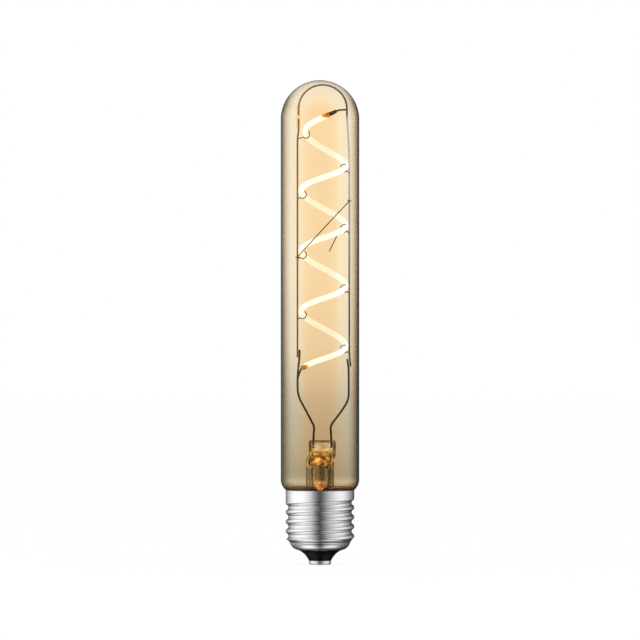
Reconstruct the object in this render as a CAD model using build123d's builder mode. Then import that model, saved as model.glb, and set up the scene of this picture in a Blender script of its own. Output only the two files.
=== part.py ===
from build123d import *
import os
from math import atan2, cos, degrees, radians, sin, sqrt, tan

# A tube-shaped LED filament lamp on a screw cap, in millimetres.
# The origin is the centre of the end contact's face, and the lamp stands up along +Z.

# Glass envelope: the shoulder rises over the cap's rim, and the neck reaches down inside the cap
overall_length = 185.0
tube_radius = 15.0
glass_wall = 0.8
shoulder_rise = 4.0
shoulder_radius = 4.9
neck_clearance = 0.55
neck_fillet = 1.2
neck_depth = 8.4

# Screw cap, rolled from sheet
rim_height = 28.4
rim_band = 1.1
rim_step = 0.25
flare_length = 1.0
crest_radius = 13.1
crest_flat = 0.05
thread_depth = 1.05
thread_pitch = 3.63
thread_start_drop = 2.04
thread_start_angle = 180.0
thread_margin = 0.89
run_out_turns = 0.5
crest_stop_angle = 10.0
groove_clearance = 0.6
sheet = 0.3
shoulder_inset = 5.2
lip_inset = 4.9
cap_shoulder_radius = 3.75
cap_shoulder_height = 9.3
chamfer_drop = 0.65
chamfer_rise = 1.7
skirt_bore_length = 2.9
skirt_bore_step = 0.5

# Insulator and end contact
contact_radius = 4.2
contact_height = 1.5
contact_edge = 0.45
rivet_radius = 1.25
rivet_height = 2.6
insulator_foot_radius = 4.3
insulator_waist = (5.3, 3.2)
insulator_skirt_drop = 3.8
insulator_top_drop = 1.5
insulator_dish_radius = 5.0
insulator_dish_depth = 2.6

# Basing cement, a little below the cap's rim
cement_recess = 0.4

# Stem: flare tube and pinch, in one piece of glass
stem_radius = 5.4
stem_wall = 1.0
stem_height = 38.5
pinch_x = 0.9
pinch_width = 10.4
pinch_depth = 3.6
pinch_corner = 1.2
pinch_edge = 0.4
pinch_rise = 4.0
pinch_length = 5.0
lead_bore_depth = 3.0
dumet_bore_depth = 3.0

# Exhaust tube
exhaust_radius = 2.075
exhaust_bore = 1.3
exhaust_length = 8.0
tip_length = 5.0
tip_radius = 0.9

# Lead wires: each route as shares of the way across and of the way up, from the pinch to its support wire
lead_radius = 0.4
lead_left_x = -2.5
lead_right_x = 4.3
lead_left_route = ((0, 0.055), (-0.075, 0.148), (0.564, 0.334), (1.137, 0.497), (1.147, 0.718), (1, 0.922))
lead_right_route = ((0, 0.055), (-0.065, 0.177), (0.597, 0.344), (1.097, 0.498), (1.089, 0.884))
lead_overlap = 2.9
lead_gap = 0.03

# Lead-in wires through the flare tube
dumet_radius = 0.25
dumet_gap = 0.875
dumet_inset = 0.56
dumet_bend_drop = 3.0
dumet_right_turn = 37.5

# Support wires
support_radius = 0.35
strip_gap = 0.1
left_foot_rise = 3.9
right_foot_rise = 0.4
right_foot_splay = 0.5
right_foot_length = 4.4
lean_length = 18.0
lean_end = 3.0
arch_inset = 0.9
arch_gap = 0.4
jog_step = 0.4
jog_start_drop = 3.7
jog_end_drop = 1.3

# Insulating sleeve between the arch and the left wire
sleeve_radius = 0.9
sleeve_clearance = 0.11
sleeve_rise = 1.3
sleeve_length = 8.8
wire_end_gap = 1.4

# Filament: a soft strip wound as a helix that hangs a little lower on the right
filament_radius = 1.05
coil_x = 1.3
coil_room = 5.8
coil_pitch = 23.0
coil_lean = 0.8
coil_rise = 2.33
coil_taper = 1.5
coil_start_angle = 70.0
coil_end_angle = 1595.0
coil_bends = 56

# Filament terminals
crimp_radius = 0.62
crimp_length = 3.3
bottom_crimp_length = 1.1
tail_radius = 0.35
weld_gap = 0.22
top_weld_drop = 0.27
bottom_weld_share = 0.68

# Hooks that hang the strip on the support wires
hook_wire_radius = 0.2
hook_clearance = 0.2
hook_lag = 20.0
hook_opening = 110.0
hook_leg_angle = 45.0
hook_leg_drop = 0.8
hook_gap = 0.05
hooks_per_side = 4
loose_tail_hook = 2
loose_tail = (-4.3, 0.9, -8.8)

# Tie wire, straight in the front view and bowed round the front of the strip
tie_radius = 0.19
tie_ring_wire = 0.22
tie_ring_gap = 0.05
tie_drop = 1.0
tie_room = 0.9
tie_bow_angles = (201.5, 225.0, 255.0, 290.0, 325.0)

# Driver in the cap, with the places of its parts as shares of the board's radius, and the room
# that its tallest parts leave below the glass neck
board_thickness = 1.2
board_height = 12.4
board_clearance = 0.25
rectifier_size = (4.7, 3.9, 1.6)
rectifier_share = (-0.45, 0.52)
chip_size = (4.9, 3.9, 1.5)
chip_share = (0.4, 0.52)
package_edge = 0.25
capacitor_room = 1.6
capacitor_length = 8.0
capacitor_share = -0.54
capacitor_edge = 0.4
resistor_radius = 1.15
resistor_length = 6.0
resistor_gap = 0.3
resistor_edge = 0.35
driver_wire_radius = 0.3
neutral_inset = 3.3
neutral_room = 1.4
neutral_bend_share = 0.24

# A bend takes up to this share of the shorter run beside it
bend_share = 0.45

# Half a turn and a whole turn, in degrees
half_turn = 180
turn = 360

# Cap: what follows from its sizes
rim_radius = crest_radius + rim_step
flare_top = rim_height - rim_band
flare_bottom = flare_top - flare_length
thread_bore_radius = crest_radius - thread_depth - sheet
skirt_bore_radius = crest_radius - sheet
skirt_bore_start = rim_height - skirt_bore_length
shoulder_x = crest_radius - shoulder_inset
lip_radius = crest_radius - lip_inset
chamfer_foot = cap_shoulder_height - chamfer_drop
thread_start = cap_shoulder_height - thread_start_drop
thread_turns = (flare_bottom - thread_margin - thread_start) / thread_pitch - run_out_turns
thread_top = thread_start + thread_turns * thread_pitch

# Glass: the neck slides into the cap, and the dome is half a ball
neck_radius = thread_bore_radius - neck_clearance
neck_bore = neck_radius - glass_wall
neck_end = rim_height - neck_depth
shoulder_height = rim_height + shoulder_rise
dome_height = overall_length - tube_radius

# Stem
stem_bore = stem_radius - stem_wall
flare_sweep = neck_bore - stem_radius
flare_height = neck_end + flare_sweep
pinch_start = stem_height + pinch_rise
pinch_top = pinch_start + pinch_length

# Mount: the support wires stand just outside the coil, and the arch fits under the dome
coil_radius = tube_radius - glass_wall - coil_room
support_left_x = coil_x - coil_radius - filament_radius - strip_gap - support_radius
support_right_x = coil_x + coil_radius + filament_radius + strip_gap + support_radius
arch_right_x = support_right_x - arch_inset
sleeve_x = support_left_x + jog_step
arch_x = (arch_right_x + sleeve_x) / 2
arch_radius = (arch_right_x - sleeve_x) / 2
arch_room = tube_radius - glass_wall - arch_gap - support_radius - arch_radius
arch_height = dome_height + sqrt(arch_room**2 - arch_x**2)
sleeve_top = arch_height + sleeve_rise
sleeve_bottom = sleeve_top - sleeve_length
sleeve_middle = (sleeve_top + sleeve_bottom) / 2
coil_top = arch_height + coil_rise

os.makedirs("parts", exist_ok=True)


def bent(*points):
    """A line of straight runs joined by the largest tangent bends that fit between the points."""
    radii = []
    for before, here, after in zip(points, points[1:], points[2:]):
        run_in = Vector(here) - Vector(before)
        run_out = Vector(after) - Vector(here)
        half_bend = radians(run_in.get_angle(run_out)) / 2
        radii.append(bend_share * min(run_in.length, run_out.length) / tan(half_bend))
    return FilletPolyline(*points, radius=radii)


def envelope_section(inset):
    """Half section of the blown glass: inset 0 is its outside, inset of one wall its inside."""
    bend_x = tube_radius - shoulder_radius
    fillet_x = neck_radius + neck_fillet
    reach = shoulder_radius + neck_fillet
    drop = sqrt(reach**2 - (fillet_x - bend_x) ** 2)
    fillet_z = shoulder_height - drop
    slope = degrees(atan2(drop, fillet_x - bend_x))
    with BuildSketch(Plane.XZ) as section:
        with BuildLine():
            neck = Line((neck_radius - inset, neck_end), (neck_radius - inset, fillet_z))
            CenterArc((fillet_x, fillet_z), neck_fillet + inset, half_turn - slope, slope)
            CenterArc((bend_x, shoulder_height), shoulder_radius - inset, -slope, slope)
            Line((tube_radius - inset, shoulder_height), (tube_radius - inset, dome_height))
            dome = CenterArc((0, dome_height), tube_radius - inset, 0, half_turn / 2)
            Polyline(dome @ 1, (0, neck_end), neck @ 0)
        make_face()
    return section.sketch


def thread_groove(turns, opening_angle):
    """The rolled groove of a knuckle thread: a root arc that runs into half a crest on each side."""
    root_radius = crest_radius + crest_flat - thread_depth
    knuckle = (thread_depth**2 + thread_pitch**2 / 4) / (4 * thread_depth)
    root_x = root_radius + knuckle
    crest_x = crest_radius + crest_flat - knuckle
    slope = degrees(atan2(thread_pitch / 4, (root_x - crest_x) / 2))
    outside = crest_radius + groove_clearance
    with BuildPart() as groove:
        with BuildLine() as path:
            Helix(
                pitch=thread_pitch,
                height=turns * thread_pitch,
                radius=crest_radius,
                cone_angle=opening_angle,
            )
        with BuildSketch(Plane.XZ):
            with BuildLine():
                CenterArc((root_x, 0), knuckle, half_turn - slope, 2 * slope)
                upper = CenterArc((crest_x, thread_pitch / 2), knuckle, -slope, slope - crest_stop_angle)
                lower = CenterArc((crest_x, -thread_pitch / 2), knuckle, slope, crest_stop_angle - slope)
                Polyline(
                    upper @ 1,
                    (outside, (upper @ 1).Y),
                    (outside, (lower @ 1).Y),
                    lower @ 1,
                )
            make_face()
        sweep(path=path.line, is_frenet=True)
    return groove.part


def coil_point(angle, spread=1.0):
    """A point on the strip's centre line, by the angle wound from the top."""
    wound = radians(angle)
    radius = spread * (coil_radius - coil_taper * max(0, turn - angle) / half_turn)
    height = coil_top - coil_pitch * angle / turn - coil_lean * cos(wound)
    return Vector(coil_x + radius * cos(wound), -radius * sin(wound), height)


def hook_angle(first_side, number):
    """Where a hook holds the strip: just past each time the coil reaches that side."""
    return first_side + turn * (number - 1) + hook_lag


# Glass envelope: dome, tube, shoulder and neck in one piece
with BuildPart() as glass_envelope:
    revolve(envelope_section(0), axis=Axis.Z)
    revolve(envelope_section(glass_wall), axis=Axis.Z, mode=Mode.SUBTRACT)

# Cap shell: spun body, rolled thread that runs out below the skirt, then the open inside
run_out_angle = degrees(atan2(thread_depth + crest_flat, run_out_turns * thread_pitch))
main_groove = thread_groove(thread_turns, 0)
run_out = thread_groove(run_out_turns, run_out_angle)


def shoulder_arc(radius, end_z):
    """The cap's rounded shoulder, from its lip up to the given height."""
    end_x = shoulder_x + sqrt(radius**2 - (cap_shoulder_height - end_z) ** 2)
    start_z = cap_shoulder_height - sqrt(radius**2 - (lip_radius - shoulder_x) ** 2)
    return RadiusArc((lip_radius, start_z), (end_x, end_z), -radius)


with BuildPart() as cap_shell:
    with BuildSketch(Plane.XZ):
        with BuildLine():
            shoulder = shoulder_arc(cap_shoulder_radius, chamfer_foot)
            Polyline(
                shoulder @ 1,
                (crest_radius, chamfer_foot + chamfer_rise),
                (crest_radius, flare_bottom),
                (rim_radius, flare_top),
                (rim_radius, rim_height),
                (0, rim_height),
                (0, (shoulder @ 0).Y),
                shoulder @ 0,
            )
        make_face()
    revolve(axis=Axis.Z)
    with Locations(Location((0, 0, thread_start), (0, 0, thread_start_angle))):
        add(main_groove, mode=Mode.SUBTRACT)
    with Locations(Location((0, 0, thread_top), (0, 0, thread_start_angle + turn * thread_turns))):
        add(run_out, mode=Mode.SUBTRACT)
    with BuildSketch(Plane.XZ):
        with BuildLine():
            inner_shoulder = shoulder_arc(cap_shoulder_radius - sheet, cap_shoulder_height)
            Polyline(
                inner_shoulder @ 1,
                (thread_bore_radius, cap_shoulder_height + sheet),
                (thread_bore_radius, skirt_bore_start - skirt_bore_step),
                (skirt_bore_radius, skirt_bore_start),
                (skirt_bore_radius, flare_bottom),
                (rim_radius - sheet, flare_top),
                (rim_radius - sheet, rim_height),
                (0, rim_height),
                (0, 0),
                (lip_radius, 0),
                inner_shoulder @ 0,
            )
        make_face()
    revolve(axis=Axis.Z, mode=Mode.SUBTRACT)

# Insulator: cast into the bottom of the cap, with a hole for the contact's rivet
skirt_height = cap_shoulder_height - insulator_skirt_drop
insulator_top = cap_shoulder_height - insulator_top_drop
dish_height = insulator_top - insulator_dish_depth
with BuildPart() as cap_insulator:
    with BuildSketch(Plane.XZ):
        with BuildLine():
            Line((rivet_radius, contact_height), (insulator_foot_radius, contact_height))
            ThreePointArc(
                (insulator_foot_radius, contact_height),
                insulator_waist,
                (lip_radius, skirt_height),
            )
            seat = shoulder_arc(cap_shoulder_radius - sheet, insulator_top)
            Line((lip_radius, skirt_height), seat @ 0)
            Polyline(
                seat @ 1,
                (insulator_dish_radius + insulator_dish_depth, insulator_top),
                (insulator_dish_radius, dish_height),
                (rivet_radius, dish_height),
                (rivet_radius, contact_height),
            )
        make_face()
    revolve(axis=Axis.Z)

# End contact: a stamped disc with the rivet that holds it in the insulator
with BuildPart() as centre_contact:
    with BuildSketch():
        Circle(contact_radius)
    extrude(amount=contact_height)
    fillet(centre_contact.edges().group_by(Axis.Z)[0], radius=contact_edge)
    with BuildSketch(Plane.XY.offset(contact_height)):
        Circle(rivet_radius)
    extrude(amount=rivet_height)

# Basing cement: fills the skirt between the glass neck and the cap
cement_top = rim_height - cement_recess
with BuildPart() as basing_cement:
    with BuildSketch(Plane.XZ):
        with BuildLine():
            Polyline(
                (neck_radius, skirt_bore_start),
                (skirt_bore_radius, skirt_bore_start),
                (skirt_bore_radius, flare_bottom),
                (rim_radius - sheet, flare_top),
                (rim_radius - sheet, cement_top),
                (neck_radius, cement_top),
                close=True,
            )
        make_face()
    revolve(axis=Axis.Z)
    revolve(envelope_section(0), axis=Axis.Z, mode=Mode.SUBTRACT)

# Stem: the trumpet that closes the neck, its tube, and the flat pinch that grips the leads
dumet_left_x = -exhaust_radius - dumet_gap
dumet_right_x = stem_bore - dumet_inset
with BuildPart() as stem:
    with BuildSketch(Plane.XZ):
        with BuildLine():
            closed_top = stem_height + stem_wall
            flare_centre = (neck_bore, flare_height)
            outer_sweep = CenterArc(flare_centre, flare_sweep, half_turn, half_turn / 2)
            inner_sweep = CenterArc(flare_centre, flare_sweep + stem_wall, half_turn, half_turn / 2)
            Polyline(outer_sweep @ 0, (stem_radius, closed_top), (0, closed_top))
            Polyline((0, closed_top), (0, stem_height), (stem_bore, stem_height), inner_sweep @ 0)
            Polyline(
                outer_sweep @ 1,
                (neck_radius, neck_end),
                (neck_radius, neck_end - stem_wall),
                inner_sweep @ 1,
            )
        make_face()
    revolve(axis=Axis.Z)
    with BuildSketch(Plane.XY.offset(closed_top)):
        Circle(stem_radius)
    with BuildSketch(Plane.XY.offset(pinch_start)):
        with Locations((pinch_x, 0)):
            RectangleRounded(pinch_width, pinch_depth, pinch_corner)
    loft()
    with BuildSketch(Plane.XY.offset(pinch_start)):
        with Locations((pinch_x, 0)):
            RectangleRounded(pinch_width, pinch_depth, pinch_corner)
    extrude(amount=pinch_top - pinch_start)
    fillet(stem.edges().group_by(Axis.Z)[-1], radius=pinch_edge)
    with BuildSketch(Plane.XY.offset(pinch_top - lead_bore_depth)):
        with Locations((lead_left_x, 0), (lead_right_x, 0)):
            Circle(lead_radius)
    extrude(amount=lead_bore_depth, mode=Mode.SUBTRACT)
    with BuildSketch(Plane.XY.offset(stem_height)):
        with Locations((dumet_left_x, 0), (dumet_right_x, 0)):
            Circle(dumet_radius)
    extrude(amount=dumet_bore_depth, mode=Mode.SUBTRACT)

# Exhaust tube: hangs from the pinch and is melted shut at its lower tip
tip_start = stem_height - exhaust_length
tip_end = tip_start - tip_length
exhaust_wall = exhaust_radius - exhaust_bore
with BuildPart() as exhaust_tube:
    with BuildSketch(Plane.XZ):
        with BuildLine():
            Line((exhaust_bore, stem_height), (exhaust_radius, stem_height))
            Line((exhaust_radius, stem_height), (exhaust_radius, tip_start))
            taper = Spline(
                (exhaust_radius, tip_start),
                (tip_radius, tip_end + tip_radius),
                tangents=((0, -1), (0, -1)),
            )
            RadiusArc(taper @ 1, (0, tip_end), tip_radius)
            Polyline(
                (0, tip_end),
                (0, tip_end + 2 * exhaust_wall),
                (exhaust_bore, tip_start),
                (exhaust_bore, stem_height),
            )
        make_face()
    revolve(axis=Axis.Z)

# Feet of the support wires, just above the lower end of the strip, and the lead wires up to them
coil_foot = coil_point(coil_end_angle).Z
left_foot = coil_foot + left_foot_rise
right_foot = coil_foot + right_foot_rise
lead_reach = support_radius + lead_radius + lead_gap
lead_left_end = (support_left_x + lead_reach, left_foot + lead_overlap)
lead_right_end = (support_right_x - lead_reach, right_foot + lead_overlap)


def lead_point(start_x, end, share_x, share_z):
    """A point of a lead wire, by its shares of the way from the pinch to the wire's end."""
    end_x, end_z = end
    return (start_x + share_x * (end_x - start_x), 0, pinch_top + share_z * (end_z - pinch_top))


def lead_line(start_x, end, route):
    """Centre line of a lead wire, from the bottom of its hole in the pinch."""
    bends = [lead_point(start_x, end, share_x, share_z) for share_x, share_z in route]
    return bent((start_x, 0, pinch_top - lead_bore_depth), *bends, lead_point(start_x, end, 1, 1))


with BuildPart() as lead_wire_left:
    with BuildLine() as lead_left_line:
        lead_line(lead_left_x, lead_left_end, lead_left_route)
    with BuildSketch(lead_left_line.line ^ 0):
        Circle(lead_radius)
    sweep()

with BuildPart() as lead_wire_right:
    with BuildLine() as lead_right_line:
        lead_line(lead_right_x, lead_right_end, lead_right_route)
    with BuildSketch(lead_right_line.line ^ 0):
        Circle(lead_radius)
    sweep()

# Lead-in wires, from the pinch through the flare tube to the board
board_top = board_height + board_thickness
dumet_top = stem_height + dumet_bore_depth
with BuildPart() as dumet_lead_left:
    with BuildSketch(Plane.XY.offset(board_top)):
        with Locations((dumet_left_x, 0)):
            Circle(dumet_radius)
    extrude(amount=dumet_top - board_top)

with BuildPart() as dumet_lead_right:
    with BuildLine() as dumet_right_line:
        lower_x = -dumet_left_x * cos(radians(dumet_right_turn))
        lower_y = dumet_left_x * sin(radians(dumet_right_turn))
        bent(
            (dumet_right_x, 0, dumet_top),
            (dumet_right_x, 0, stem_height - dumet_bend_drop),
            (lower_x, lower_y, flare_height),
            (lower_x, lower_y, board_top),
        )
    with BuildSketch(dumet_right_line.line ^ 0):
        Circle(dumet_radius)
    sweep()

# Support wires: the right one rises, arches under the dome and drops into the sleeve
with BuildPart() as support_wire_arch:
    with BuildLine(Plane.XZ) as arch_line:
        bent(
            (support_right_x + right_foot_splay, right_foot),
            (support_right_x, right_foot + right_foot_length),
            (support_right_x, arch_height - lean_length),
            (arch_right_x, arch_height - lean_end),
            (arch_right_x, arch_height),
        )
        CenterArc((arch_x, arch_height), arch_radius, 0, half_turn)
        Line((sleeve_x, arch_height), (sleeve_x, sleeve_middle + wire_end_gap / 2))
    with BuildSketch(arch_line.line ^ 0):
        Circle(support_radius)
    sweep()

with BuildPart() as support_wire_left:
    with BuildLine(Plane.XZ) as left_line:
        bent(
            (support_left_x, left_foot),
            (support_left_x, sleeve_bottom - jog_start_drop),
            (sleeve_x, sleeve_bottom - jog_end_drop),
            (sleeve_x, sleeve_middle - wire_end_gap / 2),
        )
    with BuildSketch(left_line.line ^ 0):
        Circle(support_radius)
    sweep()

# Insulating sleeve over both wire ends
with BuildPart() as insulating_sleeve:
    with BuildSketch(Plane.XY.offset(sleeve_bottom)):
        with Locations((sleeve_x, 0)):
            Circle(sleeve_radius)
            Circle(support_radius + sleeve_clearance, mode=Mode.SUBTRACT)
    extrude(amount=sleeve_length)

# Filament strip
coil_step = (coil_end_angle - coil_start_angle) / coil_bends
coil_angles = [coil_start_angle + coil_step * index for index in range(coil_bends + 1)]
with BuildPart() as filament:
    with BuildLine() as coil_line:
        bent(*[coil_point(angle, 1 / cos(radians(coil_step / 2))) for angle in coil_angles])
    with BuildSketch(coil_line.line ^ 0):
        Circle(filament_radius)
    sweep()

# Filament terminals: a crimp on each end of the strip and a tail welded to its wire
coil = coil_line.line
top_outward = coil % 0 * -1
top_crimp_end = coil @ 0 + top_outward * crimp_length
top_weld_axis = Vector(arch_right_x, 0, arch_height - top_weld_drop)
top_weld = top_weld_axis - (top_weld_axis - top_crimp_end).normalized() * (support_radius + weld_gap)
with BuildPart() as filament_terminal_top:
    with BuildLine() as top_tail_line:
        bent(coil @ 0, top_crimp_end, top_weld)
    with BuildSketch(top_tail_line.line ^ 0):
        Circle(tail_radius)
    sweep()
    with BuildSketch(Plane(origin=coil @ 0, z_dir=top_outward)):
        Circle(crimp_radius)
    extrude(amount=crimp_length * bend_share)

bottom_outward = coil % 1
bottom_crimp_end = coil @ 1 + bottom_outward * bottom_crimp_length
bulge_share = lead_left_route[-2][0]
bottom_weld_axis = Vector(lead_point(lead_left_x, lead_left_end, bulge_share, bottom_weld_share))
bottom_weld = bottom_weld_axis - (bottom_weld_axis - bottom_crimp_end).normalized() * (lead_radius + weld_gap)
with BuildPart() as filament_terminal_bottom:
    with BuildLine() as bottom_tail_line:
        bent(coil @ 1, bottom_crimp_end, bottom_weld)
    with BuildSketch(bottom_tail_line.line ^ 0):
        Circle(tail_radius)
    sweep()

# Hooks: an open ring round the strip with a leg to its support wire, and one with a loose tail
hook_ring_radius = filament_radius + hook_clearance + hook_wire_radius
for side, first_side, wire_x in (("left", half_turn, support_left_x), ("right", turn, support_right_x)):
    for number in range(1, hooks_per_side + 1):
        angle = hook_angle(first_side, number)
        outward = Vector(cos(radians(angle)), -sin(radians(angle)), 0)
        ring_axis = outward.cross(Vector(0, 0, -1))
        ring_plane = Plane(origin=coil_point(angle), x_dir=outward, z_dir=ring_axis)
        lean = radians(hook_leg_angle)
        ring_end = (hook_ring_radius * cos(lean), hook_ring_radius * sin(lean), 0)
        leg_start = ring_plane.from_local_coords(ring_end)
        leg_axis = Vector(wire_x, 0, leg_start.Z - hook_leg_drop)
        leg = leg_axis - leg_start
        with BuildPart() as hook:
            with BuildLine(ring_plane) as ring_line:
                CenterArc((0, 0), hook_ring_radius, hook_leg_angle, turn - hook_opening)
            with BuildSketch(ring_line.line ^ 0):
                Circle(hook_wire_radius)
            sweep()
            with BuildSketch(Plane(origin=leg_start, z_dir=leg)):
                Circle(hook_wire_radius)
            extrude(amount=leg.length - support_radius - hook_gap)
            if side == "right" and number == loose_tail_hook:
                inner_side = ring_plane.from_local_coords((-hook_ring_radius, 0, 0))
                with BuildSketch(Plane(origin=inner_side, z_dir=loose_tail)):
                    Circle(hook_wire_radius)
                extrude(amount=Vector(loose_tail).length)
        hook.part.label = f"hook_{side}_{number}"
        export_step(hook.part, f"parts/hook_{side}_{number}.step")

# Tie wire: from the third left hook to between the first two right hooks, with a ring round each wire
tie_ring_radius = support_radius + tie_ring_gap + tie_ring_wire
tie_left_height = coil_point(hook_angle(half_turn, 3)).Z - tie_drop
right_hook_heights = [coil_point(hook_angle(turn, number)).Z for number in (1, 2)]
tie_right_height = sum(right_hook_heights) / 2 - tie_drop
tie_slope = (tie_right_height - tie_left_height) / (support_right_x - support_left_x)
tie_bow_radius = coil_radius + filament_radius + tie_room
tie_bow = [
    (coil_x + tie_bow_radius * cos(radians(angle)), tie_bow_radius * sin(radians(angle)))
    for angle in tie_bow_angles
]
tie_ends = ((support_left_x, -tie_ring_radius), *tie_bow, (support_right_x, -tie_ring_radius))
with BuildPart() as tie_wire:
    with BuildLine() as tie_line:
        bent(*[(x, y, tie_left_height + tie_slope * (x - support_left_x)) for x, y in tie_ends])
    with BuildSketch(tie_line.line ^ 0):
        Circle(tie_radius)
    sweep()
    with Locations((support_left_x, 0, tie_left_height), (support_right_x, 0, tie_right_height)):
        Torus(tie_ring_radius, tie_ring_wire)

# Driver board, a disc that fits the inside of the thread
board_radius = thread_bore_radius - board_clearance
with BuildPart() as driver_board:
    with BuildSketch(Plane.XY.offset(board_height)):
        Circle(board_radius)
    extrude(amount=board_thickness)

# Components on the board
rectifier_x, rectifier_y = (share * board_radius for share in rectifier_share)
chip_x, chip_y = (share * board_radius for share in chip_share)
capacitor_y = capacitor_share * board_radius
capacitor_radius = (neck_end - capacitor_room - board_top) / 2
resistor_y = rectifier_y - rectifier_size[1] / 2 - resistor_gap - resistor_radius
with BuildPart() as rectifier:
    with BuildSketch(Plane.XY.offset(board_top)):
        with Locations((rectifier_x, rectifier_y)):
            Rectangle(rectifier_size[0], rectifier_size[1])
    extrude(amount=rectifier_size[2])
    chamfer(rectifier.edges().group_by(Axis.Z)[-1], length=package_edge)

with BuildPart() as driver_chip:
    with BuildSketch(Plane.XY.offset(board_top)):
        with Locations((chip_x, chip_y)):
            Rectangle(chip_size[0], chip_size[1])
    extrude(amount=chip_size[2])
    chamfer(driver_chip.edges().group_by(Axis.Z)[-1], length=package_edge)

with BuildPart() as capacitor:
    with BuildSketch(Plane.YZ.offset(-capacitor_length / 2)):
        with Locations((capacitor_y, board_top + capacitor_radius)):
            Circle(capacitor_radius)
    extrude(amount=capacitor_length)
    fillet(capacitor.edges().filter_by(GeomType.CIRCLE), radius=capacitor_edge)

with BuildPart() as resistor:
    with BuildSketch(Plane.YZ.offset(-resistor_length / 2)):
        with Locations((resistor_y, board_top + resistor_radius)):
            Circle(resistor_radius)
    extrude(amount=resistor_length)
    fillet(resistor.edges().filter_by(GeomType.CIRCLE), radius=resistor_edge)

# Supply wires of the driver: one to the contact's rivet, one to the shell
with BuildPart() as line_wire:
    with BuildSketch(Plane.XY.offset(contact_height + rivet_height)):
        Circle(driver_wire_radius)
    extrude(amount=board_height - contact_height - rivet_height)

neutral_rise = neck_end - neutral_room - board_top
neutral_bend = neutral_bend_share * neutral_rise
with BuildPart() as neutral_wire:
    with BuildLine() as neutral_line:
        inner_x = board_radius - neutral_inset
        outer_x = thread_bore_radius - driver_wire_radius
        bent(
            (inner_x, 0, board_top),
            (inner_x, 0, board_top + neutral_bend),
            (outer_x, 0, board_top + 2 * neutral_bend),
            (outer_x, 0, board_top + neutral_rise),
        )
    with BuildSketch(neutral_line.line ^ 0):
        Circle(driver_wire_radius)
    sweep()

pieces = {
    "glass_envelope": glass_envelope,
    "stem": stem,
    "exhaust_tube": exhaust_tube,
    "lead_wire_left": lead_wire_left,
    "lead_wire_right": lead_wire_right,
    "dumet_lead_left": dumet_lead_left,
    "dumet_lead_right": dumet_lead_right,
    "support_wire_arch": support_wire_arch,
    "support_wire_left": support_wire_left,
    "insulating_sleeve": insulating_sleeve,
    "filament": filament,
    "filament_terminal_top": filament_terminal_top,
    "filament_terminal_bottom": filament_terminal_bottom,
    "tie_wire": tie_wire,
    "cap_shell": cap_shell,
    "cap_insulator": cap_insulator,
    "centre_contact": centre_contact,
    "basing_cement": basing_cement,
    "driver_board": driver_board,
    "rectifier": rectifier,
    "driver_chip": driver_chip,
    "capacitor": capacitor,
    "resistor": resistor,
    "line_wire": line_wire,
    "neutral_wire": neutral_wire,
}
for name, piece in pieces.items():
    piece.part.label = name
    export_step(piece.part, f"parts/{name}.step")
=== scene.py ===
import bpy
from math import atan2, cos, pi, sin, sqrt
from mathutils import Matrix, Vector


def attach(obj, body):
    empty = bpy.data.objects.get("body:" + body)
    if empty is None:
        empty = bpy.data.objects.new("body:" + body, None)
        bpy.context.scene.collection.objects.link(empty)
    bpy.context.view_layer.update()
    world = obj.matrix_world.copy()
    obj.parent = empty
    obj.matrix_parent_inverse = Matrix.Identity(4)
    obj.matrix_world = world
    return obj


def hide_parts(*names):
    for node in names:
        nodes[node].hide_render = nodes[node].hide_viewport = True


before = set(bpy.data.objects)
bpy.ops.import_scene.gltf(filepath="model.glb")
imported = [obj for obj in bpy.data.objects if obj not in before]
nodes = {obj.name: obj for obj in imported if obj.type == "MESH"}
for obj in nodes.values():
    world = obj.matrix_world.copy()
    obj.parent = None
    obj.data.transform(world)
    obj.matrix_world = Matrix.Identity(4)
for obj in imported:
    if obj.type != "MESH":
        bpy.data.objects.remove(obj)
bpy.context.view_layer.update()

MM = 0.001


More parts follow.
